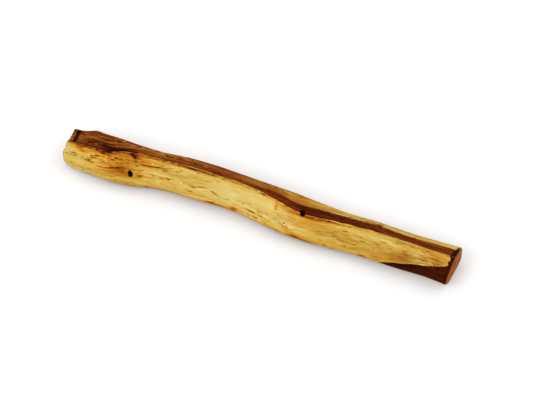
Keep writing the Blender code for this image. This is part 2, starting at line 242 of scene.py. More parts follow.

# Thin cracks, as (places, half width, depth, added shade), and the share of each that thins out at
# either end. Their added shade is partly their own dark colour and partly painted shade in them.
CRACK_TAPER = 0.12
CRACKS = [
    ([(-42.0, -0.1), (-39.3, -0.75), (-37.4, -1.25)], 0.2, 0.14, 0.42),
    ([(-30.4, -2.5), (-27.9, -2.5), (-26.0, -2.2), (-21.8, -1.8)], 0.16, 0.14, 0.36),
    ([(-27.6, -4.3), (-24.0, -4.6), (-20.6, -3.9)], 0.15, 0.1, 0.24),
    ([(-18.0, -4.2), (-15.0, -4.2), (-12.6, -3.6)], 0.15, 0.1, 0.2),
    ([(-49.4, -3.2), (-45.1, -3.3), (-40.6, -3.7)], 0.17, 0.08, 0.26),
    ([(-41.0, -3.9), (-38.0, -4.2), (-34.4, -4.1)], 0.17, 0.08, 0.3),
    ([(-31.0, -5.3), (-28.0, -5.1), (-24.4, -4.8)], 0.25, 0.05, 0.14),
    ([(-35.8, -1.9), (-34.2, -2.2), (-32.7, -2.1)], 0.18, 0.08, 0.22),
    ([(-3.2, -5.5), (1.1, -5.7), (5.6, -5.8)], 0.16, 0.1, 0.2),
    ([(-13.6, -4.4), (-11.0, -4.9), (-6.5, -5.0)], 0.14, 0.05, 0.1),
    ([(24.6, -2.2), (27.5, -2.4), (31.6, -2.7)], 0.16, 0.1, 0.2),
    ([(20.7, -4.0), (24.0, -4.6)], 0.14, 0.06, 0.14),
    ([(21.7, -4.4), (27.0, -3.5), (32.4, -2.6)], 0.12, 0.05, 0.09),
    ([(38.6, -1.8), (42.0, -2.0), (46.2, -1.9)], 0.14, 0.05, 0.12),
    ([(13.5, -3.9), (17.0, -3.1), (20.4, -2.7)], 0.13, 0.06, 0.12),
    ([(-32.2, 0.2), (-32.0, -0.7), (-31.6, -1.6)], 0.3, 0.22, 0.3),
    ([(-41.3, 2.1), (-38.0, 1.4), (-34.9, 0.6), (-31.0, 0.35)], 0.4, 0.2, 0.26),
    ([(-45.8, 2.2), (-43.6, 2.4), (-41.3, 2.1)], 0.22, 0.1, 0.14),
    ([(-47.0, 0.35), (-40.5, 0.5), (-38.8, 0.55), (-33.2, 0.2)], 0.22, 0.06, 0.12),
    ([(-30.5, 3.3), (-25.0, 3.5), (-18.0, 3.3)], 0.2, 0.08, 0.12),
    ([(-12.0, 6.2), (-2.0, 5.9), (5.5, 6.4)], 0.18, 0.16, 0.25),
    ([(19.0, 6.0), (27.0, 5.6), (36.0, 6.0)], 0.16, 0.14, 0.22),
    ([(-44.0, 7.0), (-35.0, 6.4), (-27.0, 6.7)], 0.2, 0.16, 0.2),
    ([(28.0, 13.0), (36.0, 12.6), (43.0, 13.1)], 0.16, 0.12, 0.2),
    ([(-38.0, 14.0), (-29.0, 13.4), (-22.0, 13.7)], 0.16, 0.12, 0.2),
]

# Soft stains, as (x, distance, half length, half width, added shade).
STAINS = [
    (-38.4, -0.15, 2.2, 0.32, 0.5), (-45.0, -0.15, 5.0, 0.32, 0.35),
    (-45.5, -1.3, 2.2, 0.5, 0.12), (-32.6, -0.5, 0.8, 0.5, 0.28), (-34.0, -4.2, 4.5, 1.4, 0.15),
    (-38.5, -5.6, 7.0, 0.9, 0.09), (-45.0, -2.9, 5.0, 0.9, -0.06), (-17.0, -0.2, 6.5, 0.35, 0.34),
    (-9.0, 4.0, 7.0, 0.5, -0.12), (13.5, -0.3, 4.5, 0.45, 0.24), (13.0, -6.1, 8.0, 0.9, 0.14),
    (30.0, -5.0, 13.0, 1.4, 0.1), (32.0, -1.6, 8.0, 1.1, -0.09), (45.4, -2.3, 2.0, 1.6, 0.2),
    (37.8, -2.6, 1.4, 0.8, 0.12), (41.0, -1.6, 2.0, 0.8, -0.1), (-31.4, -0.9, 1.1, 0.6, 0.22),
    (-23.5, -2.3, 4.0, 0.9, -0.08), (-33.5, -5.9, 4.0, 0.9, 0.1), (5.0, -7.1, 7.0, 0.7, 0.1),
    (30.5, -3.0, 4.5, 1.2, 0.06), (-34.5, -5.0, 3.0, 1.2, 0.1), (-15.5, -0.25, 3.0, 0.35, 0.2),
    (-34.5, -1.5, 9.0, 1.5, 0.2), (-45.6, -0.8, 0.8, 0.3, 0.2), (-44.7, -1.5, 0.7, 0.3, 0.16),
    (-27.0, -1.1, 6.0, 0.7, 0.07), (-42.7, -3.1, 0.7, 0.35, 0.3), (-36.8, -4.0, 0.6, 0.3, 0.3),
    (-34.8, -4.0, 1.4, 0.4, 0.2), (-29.5, -5.45, 0.65, 0.5, 0.22), (-35.0, -2.9, 0.8, 0.3, 0.16),
    (-47.0, -5.1, 0.5, 0.4, 0.12), (-36.2, -5.2, 0.9, 0.35, 0.1), (-22.0, -6.4, 5.0, 0.9, 0.05),
    (-10.1, -7.15, 2.6, 0.4, 0.28), (-5.3, -6.85, 1.0, 0.6, 0.42), (10.8, -6.1, 1.2, 0.5, 0.32),
    (12.3, -6.7, 2.8, 0.36, 0.5), (8.5, -5.2, 1.2, 0.6, 0.16), (4.85, -1.5, 0.28, 0.75, 0.34),
    (8.5, -0.9, 3.0, 0.4, 0.14), (15.6, -2.6, 7.5, 1.9, 0.12), (14.0, -0.9, 5.0, 0.6, 0.1),
    (27.5, -6.9, 1.0, 0.35, 0.3), (31.1, -6.3, 1.0, 0.5, 0.1), (37.2, -4.2, 3.2, 1.0, 0.17),
    (-8.2, -3.0, 3.0, 2.0, -0.05), (-6.0, -4.2, 0.9, 1.5, -0.05), (3.6, -2.5, 1.1, 0.9, -0.08),
    (0.0, -1.2, 6.0, 0.5, 0.06), (-43.5, 3.2, 2.0, 0.4, -0.12), (-38.8, 3.1, 2.6, 0.45, -0.14),
    (-27.4, 2.4, 3.4, 0.6, -0.1), (-19.0, 2.8, 7.0, 0.7, -0.08), (-37.2, 0.7, 3.0, 0.5, 0.16),
    (-44.0, 1.2, 3.5, 0.5, 0.06),
]

# Places where the lower edge is nibbled away, and small hollows, as (x, distance, half length,
# half width, depth).
HOLLOWS = [
    (-10.1, -7.5, 1.2, 0.6, 0.16), (-5.3, -7.2, 0.8, 0.5, 0.18), (12.0, -6.9, 1.6, 0.5, 0.16),
    (27.6, -7.1, 0.8, 0.4, 0.12), (-43.2, -4.5, 0.22, 0.55, 0.2), (-46.8, 5.0, 1.2, 0.8, 0.15),
    (21.0, 8.0, 1.5, 0.5, 0.14), (-21.0, 9.0, 1.8, 0.5, 0.14), (4.6, -1.6, 0.25, 0.8, 0.12),
]

# The torn patch: where it starts, is full, thins and ends, first along the stick and then from its
# lower to its upper edge. Then how deep it lies, and its parallel fibres. Last, how much lighter
# their ridges and darker their grooves are painted: painted light and shade on the fibres.
TORN_ALONG = (4.5, 4.8, 9.5, 11.0)
TORN_ACROSS = (-5.4, -4.6, -0.7, -0.3)
TORN_DEPTH = 0.1
TORN_PITCH = 0.56
TORN_WAVER = 0.5
TORN_FIBRE = 0.07
TORN_PAINTED_LIGHT_AND_SHADE = 0.14

# Noise all along the wood, as (amount, length along the grain, width across it, start). Each start
# differs, so that no two look alike. Threads stand up, and slivers are split away in places, and
# the splits are darkened with painted shade.
THREAD = (0.05, 7.0, 0.55)
SLIVER = (1.0, 16.0, 1.3, 7.3)
SLIVER_DEPTH = 0.09
SLIVER_REACH = 0.1
SLIVER_PLACES = (1.0, 22.0, 4.0, 3.1)
SLIVER_CHANCE = (-0.1, 0.35)
SLIVER_PAINTED_SHADE = 0.16
# The dark facet under the tongue is smooth: it has no slivers from this far past the pale edge.
CALM_WIDTH = 0.5
# Stains have ragged edges, and marks break up between these limits.
STAIN_EDGE = (0.45, 2.5, 0.6)
BROKEN = (1.3, 0.9, 0.35, 5.7)
BROKEN_MIDDLE = 0.85
BROKEN_LIMITS = (0.1, 1.4)
# The layers of the grain wave.
WAVES = (0.55, 11.0, 2.4, 1.9)
# Just under the ridge the pale wood is stained, as (shade, distance from the ridge, reach), and
# further right by this much less.
FRINGE = (0.2, -0.35, 0.35)
FRINGE_FADES = (22.0, 30.0)
FRINGE_FADE = 0.6

# How lively the texture is at a place, as (x, distance, half length, half width, change).
LIVELY = [
    (-8.0, -3.2, 3.6, 2.6, -0.7), (3.4, -2.4, 1.4, 1.2, -0.5), (37.0, -4.4, 4.5, 1.2, -0.6),
    (-42.0, -6.2, 6.0, 0.9, -0.3), (42.0, -6.0, 7.0, 1.4, -0.8), (7.5, -3.0, 3.6, 2.2, 0.3),
    (-34.0, -1.6, 11.0, 1.6, 0.6), (-36.0, 2.5, 14.0, 2.6, 0.9), (-20.0, -4.5, 6.0, 1.0, 0.4),
    (34.0, 3.0, 18.0, 1.0, 0.7),
]

# How warm the colour is at a place, as (x, distance, half length, half width, change): more orange
# above zero and greener below.
WARMTH = [
    (-34.0, -1.6, 10.0, 1.7, 0.75), (-45.5, -1.0, 3.0, 0.8, 0.4), (-48.8, -2.0, 1.2, 1.6, -0.4),
    (-44.0, -3.4, 4.0, 1.2, -0.25), (-41.0, -6.4, 8.0, 1.0, -0.2), (-22.0, -2.6, 6.0, 1.2, -0.25),
    (-42.7, -4.3, 1.0, 0.7, 0.5), (-36.8, -4.1, 5.0, 0.6, 0.35), (-20.0, -4.6, 5.0, 0.5, 0.2),
    (-35.0, -4.6, 6.0, 1.4, 0.45), (13.0, -6.0, 8.0, 1.0, 0.3), (-9.0, 4.0, 7.0, 0.5, -0.5),
    (-10.1, -7.2, 2.5, 0.6, 0.6), (-5.3, -6.95, 1.4, 0.7, 0.7), (10.5, -6.7, 2.8, 0.8, 0.6),
    (7.5, -0.8, 4.5, 0.6, 0.6), (4.9, -1.5, 0.6, 1.0, 0.5), (15.0, -1.2, 6.0, 1.0, 0.4),
    (-9.0, -4.6, 5.0, 1.5, -0.3), (24.0, -4.0, 7.0, 1.4, -0.2), (31.1, -6.4, 1.6, 0.6, 0.5),
    (44.0, -0.9, 4.0, 0.8, 0.4), (38.0, -3.4, 7.0, 1.6, -0.3), (27.0, 3.2, 12.0, 0.8, -0.8),
    (45.0, 3.2, 6.0, 0.8, -0.9), (-27.0, 3.4, 7.0, 0.5, -0.3), (-2.0, 3.5, 10.0, 0.5, -0.25),
]

# The cut faces: saw marks that lean a little, and torn fibre, as heights in and out of the face.
# Both fade towards the rim over this share of the face. A rim looks cut up to this depth.
SAW_PITCH = 0.9
SAW_HEIGHT = 0.025
SAW_LEAN = 0.4
TORN_ENDS = {"left": 0.1, "right": 0.04}
TORN_GRAIN = 0.5
TORN_PLACE = 5.0
CUT_FADES = 0.12
LEFT_MEETS = 0.1
RIGHT_MEETS = 0.05

# Bands along the ends, as (depth from, depth to, added shade) and the distances they span. Their
# edges are this soft: along the stick, and round it at the near and the far side.
LEFT_BANDS = [(-0.1, 0.9, -0.03, (0.3, 6.0)), (0.93, 2.08, 0.34, (0.1, 5.0))]
RIGHT_BANDS = [
    (-0.1, 1.0, 0.07, (-9.5, 0.0)), (-0.1, 1.35, 0.24, (0.0, 2.1)), (-0.1, 0.9, 0.55, (2.1, 3.4)),
]
BAND_SOFT = (0.25, 0.2, 0.3)
# The added shade of the dark facet under the tongue, which is painted shade on a face that turns
# downward, laid over its dark wood, and how far from the pale edge it is full.
FACET_PAINTED_SHADE = 0.13
FACET_SOFT = 0.3

# A cut face has this shade and warmth, and keeps this share of its layers' shade. The knot holes
# are nearly black inside: dark knot wood with painted shade down the hole.
CUT_SHADE = 0.48
CUT_KEEPS = 0.18
CUT_WARMTH = 0.4
KNOT_SHADE = 0.99

# The colour of each shade, as the eye sees it from 0 to 255, and how much light the wood gives
# back.
COLOURS = [
    (0.0, (240, 224, 150)), (0.1, (230, 203, 116)), (0.2, (219, 186, 88)), (0.3, (205, 163, 62)),
    (0.4, (187, 133, 42)), (0.5, (168, 107, 30)), (0.6, (145, 83, 22)), (0.7, (121, 52, 10)),
    (0.8, (92, 29, 2)), (0.9, (64, 18, 0)), (1.0, (24, 7, 0)),
]
GIVES_BACK = 0.8
BRIGHTEST = 255
# The tints of the greenest and of the warmest wood, and where plain wood lies between them.
TINTS = [(0.95, 1.03, 1.32), (1.08, 0.87, 0.55)]
TINT_MIDDLE = 0.37

# The fine noise of the material, as (waves a millimetre along the grain, across the layers and
# down them, amount, detail, start). Each start differs, so that no two look alike.
NOISE = {
    "edge waves": (0.25, 1.6, 1.6, 0.8, 2.0, 11.0),
    "edge fibres": (0.9, 5.0, 5.0, 0.5, 2.0, 17.0),
    "dark edge": (0.1, 1.5, 1.5, 2.0, 2.0, 23.0),
    "broad": (0.05, 0.5, 0.35, 0.24, 2.0, 31.0),
    "streak": (0.09, 1.3, 1.3, 0.3, 3.0, 43.0),
    "fine": (0.2, 4.0, 4.0, 0.34, 3.0, 57.0),
    "hair": (0.5, 11.0, 11.0, 0.24, 2.0, 71.0),
    "rows": (0.06, 1.0, 1.0, 1.0, 1.0, 79.0),
    "dash": (0.42, 2.9, 2.9, 1.0, 1.0, 83.0),
    "painted_glint": (0.9, 3.2, 3.2, 1.0, 1.0, 97.0),
    "warmth": (0.07, 0.6, 0.6, 0.6, 2.0, 109.0),
    "rings": (0.0, 2.6, 0.35, 0.4, 2.0, 127.0),
    "rays": (0.0, 0.6, 6.0, 0.26, 2.0, 131.0),
    "torn": (2.2, 2.2, 2.2, 0.5, 3.0, 137.0),
}
NOISE_ROUGHNESS = 0.55
# A mix node has its inputs for values and for colours at these numbers, and its colour output.
MIX_VALUES = (2, 3)
MIX_COLOURS = (6, 7)
MIX_OUTPUT = 2
# Dark dashes and pale flecks lie in rows. The pale flecks are painted highlights on raised
# fibres. Each shows where its noise rises past these limits.
ROWS_RISE = (-0.05, 0.06)
DASH_RISE = (0.11, 0.15)
DASH_SHADE = 0.3
PAINTED_GLINT_RISE = (0.12, 0.16)
PAINTED_GLINT_SHADE = -0.14
# How soft the edge of the pale layer is, and that of the wood beyond the dark wood.
PALE_SOFT = (-0.06, 0.06)
BEYOND_SOFT = (-1.0, 1.0)
# How rough the surface is: plain wood, darker wood, and fine grain.
ROUGH = 0.72
ROUGH_DARK = -0.25
ROUGH_FINE = 0.4
SHINE = 0.02
# How far the grain stands up, as shares of this height.
BUMP = {"streak": -0.6, "fine": -1.0, "hair": 1.6, "dash": -0.8}
BUMP_HEIGHT = 0.12

# The flat layout of the skin. The sides take up this share of its height. The two end faces lie
# above them, centred here and at this level, with these sizes of a millimetre. Their own middle is
# this high above the floor.
SIDES_SHARE = 0.88
ENDS_AT = (0.25, 0.75)
ENDS_LEVEL = 0.945
ENDS_SCALE = (0.03, 0.011)
ENDS_MIDDLE = 4.0

# The camera: the angle of the photo, the point it looks at, its distance, its lens, and how near
# and how far it sees.
CAMERA_AZIMUTH = math.radians(20.0)
CAMERA_ELEVATION = math.radians(58.5)
CAMERA_AIM = (2.5, 1.13, 4.13)
CAMERA_DISTANCE = 432.4
CAMERA_LENS = 120.0
CLIP = (10.0, 10000.0)

# The plain floor and the white sky.
FLOOR_HALF = 3000.0
FLOOR_COLOUR = (0.85, 0.85, 0.85, 1.0)
FLOOR_ROUGH = 0.9
WORLD_COLOUR = (1.0, 1.0, 1.0, 1.0)
WORLD_LIGHT = 0.96
# Lights, as (place, width, power in watts).
LIGHTS = {
    "key": ((-300.0, -420.0, 620.0), 500.0, 2.4),
    "fill": ((500.0, 300.0, 500.0), 700.0, 1.0),
}


def smooth(value, start, end):
    """0 before start, 1 after end, and an eased rise between them."""
    share = np.clip((value - start) / (end - start), 0.0, 1.0)
    return share * share * (3.0 - 2.0 * share)


def along(points, x):
    """Values of the smooth curve through points, read at each x."""
    table = np.array(points)
    knots, values = table[:, 0], table[:, 1:]
    slopes = np.gradient(values, knots, axis=0)
    x = np.clip(x, knots[0], knots[-1])
    left = np.clip(np.searchsorted(knots, x) - 1, 0, len(knots) - 2)
    gap = (knots[left + 1] - knots[left])[..., None]
    t = (x[..., None] - knots[left][..., None]) / gap
    start = (1 + 2 * t) * (1 - t) ** 2 * values[left] + t * (1 - t) ** 2 * gap * slopes[left]
    end = t * t * (3 - 2 * t) * values[left + 1] - t * t * (1 - t) * gap * slopes[left + 1]
    return start + end


def straight(points, x):
    """Values on the straight lines through points, read at each x."""
    table = np.array(points)
    return np.interp(x, table[:, 0], table[:, 1])


def outward(step):
    """The unit vector square to a step along the outline, pointing out of the wood."""
    turned = np.stack([-step[..., 1], step[..., 0]], axis=-1)
    return turned / np.linalg.norm(turned, axis=-1, keepdims=True)


def corners(x):
    """The (y, z) of the seven corners of the cross-section at each x."""
    ridge, top_back, front = along(RIDGE, x), along(TOP_BACK, x), along(FRONT, x)
    share, proud = np.split(along(CREASE, x), 2, axis=-1)
    rise = ridge - front
    crease = front + share * rise + proud * outward(rise)
    foot = FOOT_RISE * smooth(np.abs(x), FLAT_HALF, -LEFT_END)
    back = top_back + np.array([BACK_OUT, -BACK_DROP])
    foot_back = np.stack([back[..., 0] - FOOT_IN_BACK, foot], axis=-1)
    inset = FOOT_IN_FRONT + FOOT_TUCK * smooth(x, TUCK_FROM, RIGHT_END)
    foot_front = np.stack([front[..., 0] + inset, foot], axis=-1)
    return [front, crease, ridge, top_back, back, foot_back, foot_front]


def ease_at(x, corner):
    """How far a corner is eased at each x: the crease sharpens where it becomes a rim."""
    sharp = smooth(x, *CREASE_SHARPENS) if corner == CREASE_EDGE else np.zeros(x.shape)
    return EASE[corner] + (CREASE_EASE_RIGHT - EASE[corner]) * sharp


def bow_at(x, face):
    """How far the middle of a face stands out at each x."""
    if face == RIDGE_EDGE:
        return SCOOP + (BOW[face] - SCOOP) * smooth(x, *SCOOP_ENDS)
    return np.full(x.shape, BOW[face])


def eased(before, corner, after, reach, t):
    """Points at t on the curve that eases a corner between its two neighbours."""
    def on_side(other):
        side = other - corner
        return corner + side * reach / np.linalg.norm(side, axis=-1, keepdims=True)
    return (1 - t) ** 2 * on_side(before) + 2 * t * (1 - t) * corner + t * t * on_side(after)


def face_points(x, face, share):
    """The (y, z) of the point at each x that is a given share of the way along one face."""
    points = corners(x)
    before, a, b, after = (points[(face + step) % CORNERS] for step in (-1, 0, 1, 2))
    short, length, far = (
        np.linalg.norm(end - start, axis=-1) for start, end in ((before, a), (a, b), (b, after))
    )
    reach_a = np.minimum(ease_at(x, face), EASE_LIMIT * np.minimum(short, length))
    reach_b = np.minimum(ease_at(x, (face + 1) % CORNERS), EASE_LIMIT * np.minimum(length, far))
    share, reach_a, reach_b, length = (
        value[..., None] for value in (share, reach_a, reach_b, length)
    )
    near_a = eased(before, a, b, reach_a, 0.5 + 0.5 * share * length / reach_a)
    near_b = eased(a, b, after, reach_b, 0.5 - 0.5 * (1 - share) * length / reach_b)
    line = np.where(share * length < reach_a, near_a, a + share * (b - a))
    line = np.where((1 - share) * length < reach_b, near_b, line)
    return line + bow_at(x, face)[..., None] * 4 * share * (1 - share) * outward(b - a)


def places_round():
    """The face, and the share of the way along it, of every point of a cross-section."""
    faces = np.concatenate([np.full(count, face) for face, count in FACETS.items()])
    shares = np.concatenate([np.arange(count) / count for count in FACETS.values()])
    return faces, shares


def outline(x, faces, shares):
    """The (y, z) of every point of the cross-sections."""
    rings = np.empty(x.shape + (2,))
    for face in FACETS:
        here = faces == face
        places = x[:, here]
        rings[:, here] = face_points(places, face, np.broadcast_to(shares[here], places.shape))
    return rings


def stations():
    """The nominal x of each cross-section: even, but closer where the detail is finer."""
    quarter = np.linspace(0.0, np.pi / 2, RIM_STEPS + 1)[:-1]
    left = LEFT_END + LEFT_RIM * (1 - np.cos(quarter))
    right = RIGHT_END - RIGHT_RIM * (1 - np.cos(quarter))
    x = np.linspace(LEFT_END + LEFT_RIM, RIGHT_END - RIGHT_RIM, STATION_GRID)
    crowd = 1 + sum(more * np.exp(-(((x - at) / reach) ** 2)) for at, reach, more in CROWDED)
    passed = np.cumsum(crowd)
    inside = np.interp(np.linspace(passed[0], passed[-1], STATIONS), passed, x)
    return np.concatenate([left, inside, right[::-1]])


def rim_inset(x):
    """How far the outline shrinks at each x to round the rims of the ends."""
    inset = np.zeros(x.shape)
    for radius, depth in ((LEFT_RIM, x - LEFT_END), (RIGHT_RIM, RIGHT_END - x)):
        inside = radius - np.clip(depth, 0.0, radius)
        inset += radius - np.sqrt(radius**2 - inside**2)
    return inset


def end_offsets(y, z):
    """How far the left and the right cut stand from a square cut, at each point of the section."""
    place = math.cos(CUT_CLIMB) * y + math.sin(CUT_CLIMB) * z
    level = -math.sin(CUT_CLIMB) * y + math.cos(CUT_CLIMB) * z
    left = along(LEFT_CUT, place)[..., 0] + LEFT_LEAN * (level - LEFT_LEAN_LEVEL)
    return left, RIGHT_SLOPES[0] * y + RIGHT_SLOPES[1] * z


def slanted(x, ring):
    """The x of each point once the ends are cut on the slant."""
    left, right = end_offsets(ring[..., 0], ring[..., 1])
    near_left = 1 - smooth(x, LEFT_END, LEFT_END + CUT_FADE)
    near_right = smooth(x, RIGHT_END - CUT_FADE, RIGHT_END)
    return x + left * near_left + right * near_right


def grain(x, y, z, amount, length, width, start=0.0):
    """Noise drawn out along the grain, between about -amount and amount."""
    points = zip((x / length + start).ravel(), (y / width).ravel(), (z / width).ravel())
    values = [noise.noise(Vector(point)) for point in points]
    return amount * np.array(values).reshape(x.shape)


def round_from_ridge(ring, faces):
    """How far round the outline each point lies from the ridge, below zero down the front."""
    step = np.linalg.norm(np.roll(ring, -1, axis=1) - ring, axis=-1)
    passed = np.cumsum(step, axis=1) - step
    ridge = np.argmax(faces == RIDGE_EDGE)
    return passed - passed[:, ridge:ridge + 1]


def depth_and_drop(x, points):
    """How deep each point lies behind the plane of the front, and how far below the ridge."""
    ridge, front = along(RIDGE, x), along(FRONT, x)
    rise = ridge - front
    down = -rise / np.linalg.norm(rise, axis=-1, keepdims=True)
    offset = points - ridge
    return -(offset * outward(rise)).sum(axis=-1), (offset * down).sum(axis=-1)


def past_pale(x, depth, drop):
    """How deep each point lies under the pale layer, below zero inside it."""
    return depth - straight(PALE_THICKNESS, x) * smooth(drop, *PALE_THICKENS)


def to_line(x, a, places):
    """How far each place on the skin is from a line of places, and its share of the way along."""
    nearest, best = np.full(x.shape, np.inf), np.zeros(x.shape)
    count = len(places) - 1
    for number, (start, end) in enumerate(zip(places, places[1:])):
        run_x, run_a = end[0] - start[0], end[1] - start[1]
        from_x, from_a = x - start[0], a - start[1]
        share = np.clip((from_x * run_x + from_a * run_a) / (run_x**2 + run_a**2), 0, 1)
        gap = np.hypot(from_x - share * run_x, from_a - share * run_a)
        best = np.where(gap < nearest, (number + share) / count, best)
        nearest = np.minimum(nearest, gap)
    return nearest, best


def blots(table, x, a):
    """The changes that a table of soft ovals makes to each place on the skin."""
    return sum(
        change * np.exp(-(((x - place_x) / long) ** 2) - ((a - place_a) / wide) ** 2)
        for place_x, place_a, long, wide, change in table
    )


def plateau(value, starts, full, thins, ends):
    """1 between full and thins, 0 before it starts and after it ends, and eased between."""
    return smooth(value, starts, full) * (1 - smooth(value, thins, ends))


def lift(x, ring):
    """How far each point of the underside lies above the low points."""
    gaps = [np.hypot(x - low_x, ring[..., 0] - low_y) for low_x, low_y in LOW_POINTS]
    clear = smooth(np.min(gaps, axis=0), 0.0, LOW_REACH)
    return LOW_LIFT * clear * (1 - smooth(ring[..., 1], *RELIEF_FROM))


class Skin:
    """The surface of the stick: its points, and what is true of the wood at each of them."""

    def __init__(self):
        self.faces, self.shares = places_round()
        nominal = np.repeat(stations()[:, None], len(self.faces), axis=1)
        x = slanted(nominal, outline(nominal, self.faces, self.shares))
        ring = outline(x, self.faces, self.shares)
        around = round_from_ridge(ring, self.faces)
        self.mark_up(x, around, ring, nominal)
        step = np.roll(ring, -1, axis=1) - np.roll(ring, 1, axis=1)
        ring = ring + self.relief[..., None] * outward(step)
        ring = self.drilled(x, ring)
        ring[..., 1] += lift(x, ring)
        self.close_ends(x, around, ring, nominal)

    def mark_up(self, x, around, ring, nominal):
        """Work out the relief and the marks of every point of the open sides."""
        middle = np.mean(corners(x), axis=0)
        y, z = np.moveaxis(ring - middle, -1, 0)
        ragged = grain(x, y, z, *STAIN_EDGE)
        broken = np.clip(BROKEN_MIDDLE + grain(x, y, z, *BROKEN), *BROKEN_LIMITS)
        front = around < 0
        self.bare = self.uncovered(x, around, ring)
        right = smooth(x, *TONGUE_STARTS) * front * (around > FRONT_ENDS)
        relief, shade = self.tongue(x, around, right)
        relief += grain(x, y, z, *FLUTE) + grain(x, y, z, *FIBRE) + grain(x, y, z, *THREAD)
        split = np.clip(1 - np.abs(grain(x, y, z, *SLIVER)) / SLIVER_REACH, 0, 1)
        split *= smooth(grain(x, y, z, *SLIVER_PLACES), *SLIVER_CHANCE)
        split *= 1 - smooth(self.bare, 0.0, CALM_WIDTH) * right
        relief -= SLIVER_DEPTH * split
        # The splits are darkened with painted shade.
        shade += SLIVER_PAINTED_SHADE * split
        for places, width, depth, darker in CRACKS:
            gap, share = to_line(x, around, places)
            crack = plateau(share, 0, CRACK_TAPER, 1 - CRACK_TAPER, 1) * broken
            crack *= np.exp(-((gap / width) ** 2))
            relief -= depth * crack
            # Darker along the crack: partly its own colour, partly painted shade in the groove.
            shade += darker * crack
        relief -= blots(HOLLOWS, x, around)
        torn = plateau(x, *TORN_ALONG) * plateau(around, *TORN_ACROSS)
        fibre = np.cos(2 * np.pi * (around + TORN_WAVER * ragged) / TORN_PITCH)
        relief += torn * (TORN_FIBRE * fibre - TORN_DEPTH)
        # Painted light and shade: the raised fibres lighter, the grooves between them darker.
        shade -= torn * TORN_PAINTED_LIGHT_AND_SHADE * fibre * broken
        amount, middle, reach = FRINGE
        fringe = amount * np.exp(-(((around - middle) / reach) ** 2)) * front
        shade += fringe * broken * (1 - FRINGE_FADE * smooth(x, *FRINGE_FADES))
        start, end, darker = LOWER_EDGE
        edge = smooth(-around, start, end) * (around > TURN_ENDS)
        shade += darker * edge * (1 - smooth(x, *LOWER_EDGE_STOPS))
        shade += (blots(STAINS, x, around) + self.end_bands(around, nominal)) * (1 + ragged)
        self.shade = shade
        self.life = 1 + blots(LIVELY, x, around)
        self.warmth = blots(WARMTH, x, around) * (1 + ragged)
        self.relief = relief * smooth(ring[..., 1], *RELIEF_FROM)

    def tongue(self, x, around, right):
        """The relief and the added shade where the pale layer runs out over the dark facet."""
        past_end = smooth(x - straight(TONGUE_END, around), 0.0, STEP_WIDTH)
        below = plateau(self.bare, 0.0, STEP_WIDTH, STEP_WIDTH, STEP_REACH)
        # The proud edge of the pale layer stands up, and is painted lighter as a painted
        # highlight.
        lip_and_highlight = right * np.exp(-(((self.bare + LIP_WIDTH) / LIP_WIDTH) ** 2))
        relief = LIP_HEIGHT * lip_and_highlight - STEP_DEPTH * below * (1 - past_end) * right
        relief -= LEDGE_DEPTH * past_end * right * smooth(around, *LEDGE_FADES)
        # The facet is darker than its dark wood by painted shade, as it turns downward.
        facet = right * smooth(self.bare, 0, FACET_SOFT)
        return relief, LIP_PAINTED_HIGHLIGHT * lip_and_highlight + FACET_PAINTED_SHADE * facet

    def uncovered(self, x, around, ring):
        """How far each point lies past the edge of the pale layer, below zero inside it."""
        depth, drop = depth_and_drop(x, ring)
        over_top = np.where(around < TOP_ENDS, around, depth)
        tongue = np.maximum(along(TONGUE, x)[..., 0] - around, x - straight(TONGUE_END, around))
        down_front = np.where(around > FRONT_ENDS, tongue, past_pale(x, depth, drop))
        return np.where(around >= 0, over_top, down_front)

    def end_bands(self, around, nominal):
        """The added shade of the bands that run along the two ends."""
        shade = np.zeros(around.shape)
        soft, near, far = BAND_SOFT
        for depth, bands in ((nominal - LEFT_END, LEFT_BANDS), (RIGHT_END - nominal, RIGHT_BANDS)):
            for start, end, darker, (low, high) in bands:
                band = plateau(depth, start, start + soft, end - soft, end)
                band *= plateau(around, low - near, low + near, high - far, high + far)
                shade += darker * band
        return shade

    def drilled(self, x, ring):
        """The rings with the two knot holes sunk into them."""
        self.knot_dark_and_shade = np.zeros(x.shape)
        for place_x, place_a, size in KNOTS:
            here = np.full((1, len(self.faces)), place_x)
            section = outline(here, self.faces, self.shares)
            near = np.argmin(np.abs(round_from_ridge(section, self.faces) - place_a))
            axis = outward(section[0, near + KNOT_POINTS] - section[0, near - KNOT_POINTS])
            offset = ring - section[0, near]
            side = offset[..., 0] * -axis[1] + offset[..., 1] * axis[0]
            gap = np.hypot(x - place_x - KNOT_SLANT * side, KNOT_SQUEEZE * side) / size
            gap = np.where(np.abs((offset * axis).sum(axis=-1)) < KNOT_REACH, gap, KNOT_FAR)
            ring = ring - axis * (KNOT_DEPTH * (1 - smooth(gap, *KNOT_WALL)))[..., None]
            # Nearly black inside the hole: partly dark knot wood, partly painted shade.
            self.knot_dark_and_shade = np.maximum(self.knot_dark_and_shade, 1 - smooth(gap, *KNOT_DARK_AND_SHADE))
        return ring

